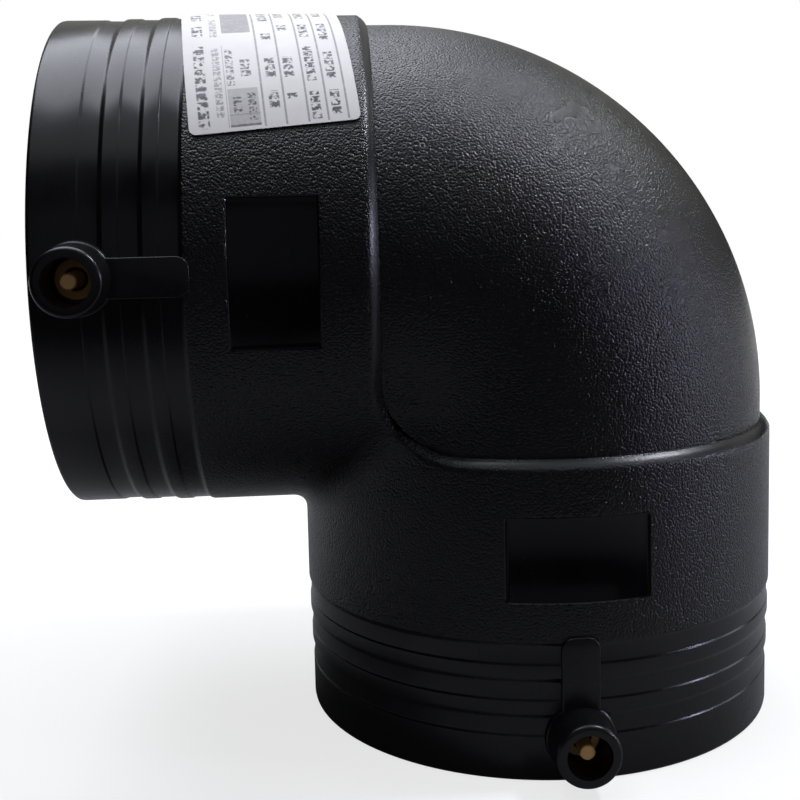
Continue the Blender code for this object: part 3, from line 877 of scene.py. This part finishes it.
def terminal_pin(name, socket, material, replaced):
    """Turned in one piece: root, dished flange and the pin with its chamfered tip."""
    foot = PIN_TIP - PIN_LENGTH
    seat = foot - FLANGE_THICKNESS
    dish = FLANGE_RADIUS - FLANGE_RIM
    solid = turned(name, rounded([
        (PIN_RADIUS, PIN_ROOT, 0), (PIN_RADIUS, seat, 0), (FLANGE_RADIUS, seat, EDGE_ROUNDING),
        (FLANGE_RADIUS, foot, EDGE_ROUNDING), (dish, foot, EDGE_ROUNDING),
        (dish - FLANGE_DISH / 2, foot - FLANGE_DISH, EDGE_ROUNDING),
        (PIN_RADIUS, foot - FLANGE_DISH, EDGE_ROUNDING), (PIN_RADIUS, PIN_TIP - PIN_CHAMFER, 0),
        (PIN_RADIUS - PIN_CHAMFER, PIN_TIP, 0), (PIN_RADIUS / 4, PIN_TIP, 0)]), sides=PIN_SIDES)
    put(solid, socket @ TERMINAL)
    paint(solid, material)
    finish_piece(solid, replaced)
    return solid


# Label

def label_sheet(material):
    sheet = flat_plate("label_sheet", (LABEL_WIDTH, LABEL_LENGTH), LABEL_CORNER,
                       LABEL_CORNER_STEPS)
    layer = sheet.data.uv_layers.active
    for loop in sheet.data.loops:
        place = sheet.data.vertices[loop.vertex_index].co
        layer.data[loop.index].uv = (place.x / LABEL_WIDTH + 0.5, place.y / LABEL_LENGTH + 0.5)
    edit(sheet)
    bpy.ops.mesh.extrude_region_move(TRANSFORM_OT_translate={"value": (0, 0, LABEL_THICKNESS)})
    leave()
    place = Matrix.Translation((LABEL_MIDDLE, LABEL_RISE, 0))
    put(sheet, place @ Matrix.Rotation(LABEL_TILT, 4, "Z"))
    wrap(sheet, SOCKET_RADIUS + SEAT_GAP, LABEL_STRIPS)
    point_outwards(sheet)
    put(sheet, LEFT_SOCKET)
    paint(sheet, material)
    finish_piece(sheet, "label", smooth_angle=50)
    return sheet


# Materials

def add_node(tree, kind, inputs=None, **settings):
    """A node whose inputs are given as numbers, colours or the outputs that feed them."""
    item = tree.nodes.new(kind)
    for name, value in settings.items():
        setattr(item, name, value)
    for key, value in (inputs or {}).items():
        if isinstance(value, bpy.types.NodeSocket):
            tree.links.new(value, item.inputs[key])
        else:
            item.inputs[key].default_value = value
    return item


def calc(tree, operation, first, second=0.0, third=0.0):
    inputs = {0: first, 1: second, 2: third}
    return add_node(tree, "ShaderNodeMath", inputs, operation=operation).outputs[0]


def ramp(tree, value, low, high, start=0.0, end=1.0):
    """Goes from start to end while the value goes from low to high, and no further."""
    inputs = {0: value, 1: low, 2: high, 3: start, 4: end}
    return add_node(tree, "ShaderNodeMapRange", inputs).outputs[0]


def noise(tree, place, scale, detail=2.0):
    inputs = {"Vector": place, "Scale": scale, "Detail": detail}
    return add_node(tree, "ShaderNodeTexNoise", inputs)


def blend(tree, share, first, second):
    """Mix two colours."""
    mixer = add_node(tree, "ShaderNodeMix", data_type="RGBA")
    for index, value in ((0, share), (6, first), (7, second)):
        if isinstance(value, bpy.types.NodeSocket):
            tree.links.new(value, mixer.inputs[index])
        else:
            mixer.inputs[index].default_value = value
    return mixer.outputs[2]


def make_group(name, inputs, outputs):
    tree = bpy.data.node_groups.new(name, "ShaderNodeTree")
    for label, kind in inputs.items():
        tree.interface.new_socket(label, in_out="INPUT", socket_type="NodeSocket" + kind)
    for label, kind in outputs.items():
        tree.interface.new_socket(label, in_out="OUTPUT", socket_type="NodeSocket" + kind)
    return tree, tree.nodes.new("NodeGroupInput"), tree.nodes.new("NodeGroupOutput")


def use(tree, group, inputs):
    return add_node(tree, "ShaderNodeGroup", inputs, node_tree=group)


def pebble_group():
    """Height of the moulded grain: crowded soft pebbles of uneven size."""
    tree, given, result = make_group("pebble_grain", {"Place": "Vector"}, {"Height": "Float"})
    place = given.outputs["Place"]
    drift = noise(tree, place, PEBBLE_DRIFT_SCALE).outputs["Color"]
    shift = add_node(tree, "ShaderNodeVectorMath", {0: drift, 1: (PEBBLE_DRIFT,) * 3, 2: place},
                     operation="MULTIPLY_ADD").outputs[0]
    cells = add_node(tree, "ShaderNodeTexVoronoi", {"Vector": shift, "Scale": PEBBLE_SCALE})
    away = cells.outputs["Distance"]
    dome = calc(tree, "MULTIPLY_ADD", calc(tree, "MULTIPLY", away, away), -PEBBLE_STEEPNESS, 1.0)
    fine = noise(tree, place, FINE_GRAIN_SCALE).outputs[0]
    height = calc(tree, "MULTIPLY_ADD", fine, FINE_GRAIN_SHARE, dome)
    tree.links.new(height, result.inputs["Height"])
    return tree


def wear_group():
    """Slow unevenness of the moulded plastic: cloudy sheen, rubbed spots and a little dust."""
    outputs = {"Sheen": "Float", "Dust": "Float", "Swell": "Float"}
    tree, given, result = make_group("plastic_wear", {"Place": "Vector"}, outputs)
    place = given.outputs["Place"]
    clouds = noise(tree, place, CLOUD_SCALE, 4.0).outputs[0]
    rubs = noise(tree, place, RUB_SCALE, 3.0).outputs[0]
    cloudy = calc(tree, "MULTIPLY", clouds, 1 - RUB_SHARE)
    sheen = calc(tree, "MULTIPLY_ADD", rubs, RUB_SHARE, cloudy)
    specks = noise(tree, place, SPECK_SCALE, 1.0).outputs[0]
    dust = calc(tree, "MULTIPLY", ramp(tree, specks, *SPECKS), ramp(tree, clouds, *DUSTY_CLOUDS))
    tree.links.new(sheen, result.inputs["Sheen"])
    tree.links.new(dust, result.inputs["Dust"])
    tree.links.new(noise(tree, place, SWELL_SCALE, 1.0).outputs[0], result.inputs["Swell"])
    return tree


def along_group():
    """Distance along the sockets from the nearer mouth and from the other one."""
    outputs = {"Along": "Float", "Other": "Float"}
    tree, given, result = make_group("along_socket", {"Place": "Vector"}, outputs)
    axes = add_node(tree, "ShaderNodeSeparateXYZ", {0: given.outputs["Place"]})
    left = calc(tree, "SUBTRACT", axes.outputs[0], BODY_LOW.x)
    tree.links.new(calc(tree, "MINIMUM", left, axes.outputs[2]), result.inputs["Along"])
    tree.links.new(calc(tree, "MAXIMUM", left, axes.outputs[2]), result.inputs["Other"])
    return tree


def new_material(name, colour, roughness, metallic=0.0):
    material = bpy.data.materials.new(name)
    material.use_nodes = True
    tree = material.node_tree
    shader = tree.nodes["Principled BSDF"]
    shader.inputs["Base Color"].default_value = (*colour, 1)
    shader.inputs["Roughness"].default_value = roughness
    shader.inputs["Metallic"].default_value = metallic
    place = add_node(tree, "ShaderNodeTexCoord").outputs["Object"]
    return material, tree, shader, place


def bump(tree, shader, height, distance):
    relief = add_node(tree, "ShaderNodeBump", {"Height": height, "Distance": distance})
    tree.links.new(relief.outputs[0], shader.inputs["Normal"])


def turned_height(tree, travel, share, height):
    """Adds a share of the fine turning lines, which repeat along the way travelled."""
    lines = calc(tree, "SINE", calc(tree, "MULTIPLY", travel, 2 * math.pi / TURNED_LINE_PITCH))
    return calc(tree, "MULTIPLY_ADD", lines, share, height)


def black_plastic(name, groups, roughness, gloss=GLOSS, grained=False, turned_lines=False):
    """Black polyethylene as moulded, with the pebble grain on the plain part of each socket and
    on the bend but not along the rounded shoulder, or with the fine lines of a bore."""
    material, tree, shader, place = new_material(name, PLASTIC, roughness)
    shader.inputs["Specular IOR Level"].default_value = gloss
    wear = use(tree, groups["wear"], {"Place": place})
    sheen = wear.outputs["Sheen"]
    colour = blend(tree, ramp(tree, sheen, *WIDE_CLOUDS), (*PLASTIC, 1), (*PLASTIC_WORN, 1))
    dusty = calc(tree, "MULTIPLY", wear.outputs["Dust"], DUST_SHARE)
    colour = blend(tree, dusty, colour, (*DUST, 1))
    distance = use(tree, groups["along"], {"Place": place})
    along = distance.outputs["Along"]
    height = calc(tree, "MULTIPLY", wear.outputs["Swell"], SWELL_SHARE)
    rough = ramp(tree, sheen, *WIDE_CLOUDS, *(roughness + stray for stray in PLASTIC_STRAY))
    if grained:
        zone = ramp(tree, along, GRAIN_START - GRAIN_EDGE, GRAIN_START + GRAIN_EDGE)
        start = SOCKET_LENGTH - SHOULDER_RUN
        before = ramp(tree, along, start - CREST_FADE, start + CREST_RISE)
        after = ramp(tree, along, SOCKET_LENGTH - CREST_FADE, SOCKET_LENGTH, 1.0, 0.0)
        beside = ramp(tree, distance.outputs["Other"], SOCKET_LENGTH + RECESS_CORNER / 2,
                      SOCKET_LENGTH + RECESS_CORNER)
        crest = calc(tree, "MULTIPLY", calc(tree, "MULTIPLY", before, after), beside)
        pebbles = use(tree, groups["pebbles"], {"Place": place}).outputs["Height"]
        grain = calc(tree, "MULTIPLY", zone, ramp(tree, crest, 0.0, 1.0, 1.0, CREST_GRAIN))
        # The crest is painted paler in patches: partly rubbed wear of the edge, partly a painted
        # highlight along the rounded shoulder
        patchy = ramp(tree, sheen, *WIDE_CLOUDS, CREST_LEAST_WEAR_AND_HIGHLIGHT)
        rubbed_and_highlit = calc(tree, "MULTIPLY", crest, patchy)
        colour = blend(tree, rubbed_and_highlit, colour, (*CREST_WEAR_AND_PAINTED_HIGHLIGHT, 1))
        height = calc(tree, "MULTIPLY_ADD", pebbles, grain, height)
        rough = calc(tree, "MULTIPLY_ADD", zone, GRAIN_ROUGHENING, rough)
    if turned_lines:
        height = turned_height(tree, along, BORE_LINE_SHARE, height)
    tree.links.new(colour, shader.inputs["Base Color"])
    tree.links.new(rough, shader.inputs["Roughness"])
    bump(tree, shader, height, GRAIN_DEPTH)
    return material


def metal(name, groups, colour, dull, roughness, dish=None):
    """Bright metal with dull patches and turning lines; a dish is painted dark reddish brown as
    painted shade and reflection in its hollow.
    """
    material, tree, shader, place = new_material(name, colour, roughness, 1.0)
    sheen = use(tree, groups["wear"], {"Place": place}).outputs["Sheen"]
    shade = blend(tree, ramp(tree, sheen, *NARROW_CLOUDS), (*colour, 1), (*dull, 1))
    height = noise(tree, place, METAL_GRAIN_SCALE).outputs[0]
    if dish:
        spun = add_node(tree, "ShaderNodeUVMap", uv_map="radius_and_height").outputs[0]
        radius, rise = add_node(tree, "ShaderNodeSeparateXYZ", {0: spun}).outputs[:2]
        # Painted shade: the hollow of the dish, between the pin and the flange's rim, is coloured
        # dark reddish brown
        inside = calc(tree, "MULTIPLY", ramp(tree, radius, dish[0], dish[0] + DISH_EDGE),
                      ramp(tree, radius, dish[1], dish[1] + DISH_EDGE, 1.0, 0.0))
        shade = blend(tree, inside, shade, (*PAINTED_DISH_SHADE, 1))
        height = turned_height(tree, calc(tree, "ADD", radius, rise), PIN_LINE_SHARE, height)
    tree.links.new(shade, shader.inputs["Base Color"])
    rough = ramp(tree, sheen, *NARROW_CLOUDS, *(roughness + stray for stray in METAL_STRAY))
    tree.links.new(rough, shader.inputs["Roughness"])
    bump(tree, shader, height, METAL_GRAIN_DEPTH)
    return material


# Print of the label, in millimetres from its middle: across, towards the shoulder, and along,
# up round the socket

def stroke_group():
    """A row of blotted strokes that spell nothing."""
    inputs = {"Across": "Float", "Along": "Float", "Row": "Float", "Height": "Float",
              "Start": "Float", "End": "Float"}
    tree, given, result = make_group("printed_strokes", inputs, {"Ink": "Float"})
    across, along, row, height, start, end = [given.outputs[name] for name in inputs]
    side = calc(tree, "DIVIDE", calc(tree, "SUBTRACT", across, row), height)
    step = calc(tree, "DIVIDE", calc(tree, "SUBTRACT", along, start), height)
    inside = calc(tree, "MULTIPLY", ramp(tree, calc(tree, "ABSOLUTE", side), *ROW_EDGE, 1.0, 0.0),
                  calc(tree, "MULTIPLY", calc(tree, "GREATER_THAN", along, start),
                       calc(tree, "LESS_THAN", along, end)))
    between = ramp(tree, calc(tree, "PINGPONG", step, 0.5), *STROKE_GAP)
    spot = add_node(tree, "ShaderNodeCombineXYZ", {
        0: calc(tree, "MULTIPLY", side, STROKE_SPACING[0]),
        1: calc(tree, "MULTIPLY", step, STROKE_SPACING[1]), 2: row}).outputs[0]
    stroke = ramp(tree, noise(tree, spot, 1.0, 1.0).outputs[0], *STROKE_EDGE)
    tree.links.new(calc(tree, "MULTIPLY", inside, calc(tree, "MULTIPLY", between, stroke)),
                   result.inputs["Ink"])
    return tree


def band_group():
    """A filled rectangle with slightly soft edges."""
    inputs = {"Across": "Float", "Along": "Float", "Left": "Float", "Right": "Float",
              "Start": "Float", "End": "Float"}
    tree, given, result = make_group("printed_band", inputs, {"Ink": "Float"})
    across, along, left, right, start, end = [given.outputs[name] for name in inputs]
    ink = None
    for value, low, high in ((across, left, right), (along, start, end)):
        for distance in (calc(tree, "SUBTRACT", value, low), calc(tree, "SUBTRACT", high, value)):
            edge = ramp(tree, distance, -BAND_SOFTNESS, BAND_SOFTNESS)
            ink = edge if ink is None else calc(tree, "MULTIPLY", ink, edge)
    tree.links.new(ink, result.inputs["Ink"])
    return tree


def label_material(groups):
    """White film with a cloudy sheen, printed in its own flat coordinates."""
    material, tree, shader, place = new_material("label_film", FILM, FILM_ROUGHNESS)
    shader.inputs["Specular IOR Level"].default_value = FILM_GLOSS
    flat = add_node(tree, "ShaderNodeSeparateXYZ",
                    {0: add_node(tree, "ShaderNodeTexCoord").outputs["UV"]})
    across, along = [calc(tree, "MULTIPLY_ADD", share, length, -length / 2) for share, length in
                     zip(flat.outputs, (LABEL_WIDTH * MILLIMETRES, LABEL_LENGTH * MILLIMETRES))]
    strokes, band = stroke_group(), band_group()
    ink = None
    for row, height, strength, runs in PRINTED_ROWS:
        for start, end in runs:
            piece = use(tree, strokes, {"Across": across, "Along": along, "Row": row,
                                        "Height": height, "Start": start, "End": end})
            mark = calc(tree, "MULTIPLY", piece.outputs[0], strength)
            ink = mark if ink is None else calc(tree, "MAXIMUM", ink, mark)
    for left, right, start, end, strength in PRINTED_BANDS:
        piece = use(tree, band, {"Across": across, "Along": along, "Left": left, "Right": right,
                                 "Start": start, "End": end})
        ink = calc(tree, "MAXIMUM", ink, calc(tree, "MULTIPLY", piece.outputs[0], strength))
    sheen = use(tree, groups["wear"], {"Place": place}).outputs["Sheen"]
    film = blend(tree, ramp(tree, sheen, *NARROW_CLOUDS), (*FILM, 1), (*FILM_WORN, 1))
    patches = noise(tree, place, INK_PATCH_SCALE).outputs[0]
    patchy = calc(tree, "MULTIPLY", ink, ramp(tree, patches, *INK_PATCHES, INK_LEAST))
    tree.links.new(blend(tree, patchy, film, (*INK, 1)), shader.inputs["Base Color"])
    rough = ramp(tree, sheen, *WIDE_CLOUDS, *(FILM_ROUGHNESS + stray for stray in FILM_STRAY))
    tree.links.new(rough, shader.inputs["Roughness"])
    bump(tree, shader, noise(tree, place, FILM_WAVE_SCALE).outputs[0], FILM_WAVE_DEPTH)
    return material


# Studio

def camera():
    data = bpy.data.cameras.new("camera")
    data.sensor_width = SENSOR_WIDTH
    data.lens = LENS
    data.shift_x, data.shift_y = LENS_SHIFT
    eye = bpy.data.objects.new("camera", data)
    turn = (Matrix.Rotation(CAMERA_ROLL, 4, "Y") @ Matrix.Rotation(CAMERA_TILT, 4, "X")
            @ Matrix.Rotation(CAMERA_TURN, 4, "Z") @ Matrix.Rotation(math.pi / 2, 4, "X"))
    eye.matrix_world = Matrix.Translation(CAMERA_PLACE) @ turn
    bpy.context.scene.collection.objects.link(eye)
    bpy.context.scene.camera = eye


def softbox(name, toward, size, brightness, colour):
    """A rectangular lamp in this direction from the elbow's middle, facing it."""
    data = bpy.data.lights.new(name, "AREA")
    data.shape = "RECTANGLE"
    data.size, data.size_y = size
    data.energy = brightness * math.pi * data.size * data.size_y
    data.color = colour
    lamp = bpy.data.objects.new(name, data)
    direction = Vector(toward).normalized()
    lamp.location = (SOLID_BOX[0] + SOLID_BOX[1]) / 2 + LAMP_DISTANCE * direction
    lamp.rotation_mode = "QUATERNION"
    lamp.rotation_quaternion = direction.to_track_quat("Z", "Y")
    bpy.context.scene.collection.objects.link(lamp)


def background_seen(tree, behind):
    """How much of the white background a ray sees: all of it from the camera, and what is behind
    the elbow when it is mirrored or passes through."""
    rays = add_node(tree, "ShaderNodeLightPath").outputs
    mirrored = calc(tree, "MAXIMUM", rays["Is Glossy Ray"], rays["Is Transmission Ray"])
    return calc(tree, "MAXIMUM", rays["Is Camera Ray"], calc(tree, "MULTIPLY", mirrored, behind))


def floor_plane():
    bpy.ops.mesh.primitive_plane_add(size=FLOOR_SIZE)
    plane = bpy.context.object
    plane.name = "floor"
    material, tree, shader, place = new_material("floor", FLOOR_GREY, FLOOR_ROUGHNESS)
    shader.inputs["Emission Color"].default_value = (*WHITE, 1)
    shader.inputs["Specular IOR Level"].default_value = 0.0
    away = add_node(tree, "ShaderNodeVectorMath", {0: place}, operation="LENGTH").outputs["Value"]
    depth = add_node(tree, "ShaderNodeSeparateXYZ", {0: place}).outputs[1]
    tree.links.new(ramp(tree, depth, *FLOOR_TURNS, *FLOOR_TONES), shader.inputs["Base Color"])
    glow = calc(tree, "MAXIMUM", ramp(tree, away, *FLOOR_GLOW_REACH, *FLOOR_GLOW),
                ramp(tree, depth, *FLOOR_TURNS, FRONT_GLOW, FLOOR_GLOW[0]))
    seen = background_seen(tree, ramp(tree, depth, *BACKDROP))
    tree.links.new(calc(tree, "MULTIPLY", glow, seen), shader.inputs["Emission Strength"])
    plane.data.materials.append(material)


def room():
    """White where the camera looks past the floor, and nearly dark for the light it gives."""
    world = bpy.data.worlds.new("world")
    bpy.context.scene.world = world
    world.use_nodes = True
    tree = world.node_tree
    background = tree.nodes["Background"]
    toward = add_node(tree, "ShaderNodeTexCoord").outputs["Generated"]
    back = add_node(tree, "ShaderNodeSeparateXYZ", {0: toward}).outputs[1]
    seen = background_seen(tree, ramp(tree, back, *STRAIGHT_BACK))
    background.inputs["Color"].default_value = (*WHITE, 1)
    tree.links.new(ramp(tree, seen, 0.0, 1.0, ROOM_LIGHT, 1.0), background.inputs["Strength"])


def studio():
    """A soft arch of light, brightest overhead, with a key lamp and three patches at the right."""
    for name, degrees, across, size, brightness, colour in ARCH:
        turn = math.radians(degrees)
        softbox(name, (across, -math.cos(turn), math.sin(turn)), size, brightness, colour)
    for name, toward, size, brightness, colour in PATCHES:
        softbox(name, toward, size, brightness, colour)
    floor_plane()
    room()
    bpy.context.scene.view_settings.view_transform = "Standard"


def build():
    camera()
    studio()
    groups = {"pebbles": pebble_group(), "wear": wear_group(), "along": along_group()}
    textured = black_plastic("moulded_skin", groups, SKIN_ROUGHNESS, grained=True)
    smooth = black_plastic("moulded_smooth", groups, SMOOTH_ROUGHNESS)
    polished = black_plastic("moulded_panel", groups, PANEL_ROUGHNESS, PANEL_GLOSS)
    bored = black_plastic("bore_plastic", groups, BORE_ROUGHNESS, turned_lines=True)
    brass = metal("terminal_brass", groups, BRASS, BRASS_DULL, BRASS_ROUGHNESS,
                  dish=(PIN_RADIUS, FLANGE_RADIUS - FLANGE_RIM - DISH_EDGE))
    copper = metal("wire_metal", groups, COPPER, COPPER_DULL, COPPER_ROUGHNESS)
    elbow_moulding(textured, smooth, polished, bored)
    heating_wire(copper)
    terminal_pin("terminal_left", LEFT_SOCKET, brass, "terminal_pin_left")
    terminal_pin("terminal_lower", LOWER_SOCKET, brass, "terminal_pin_lower")
    label_sheet(label_material(groups))


build()
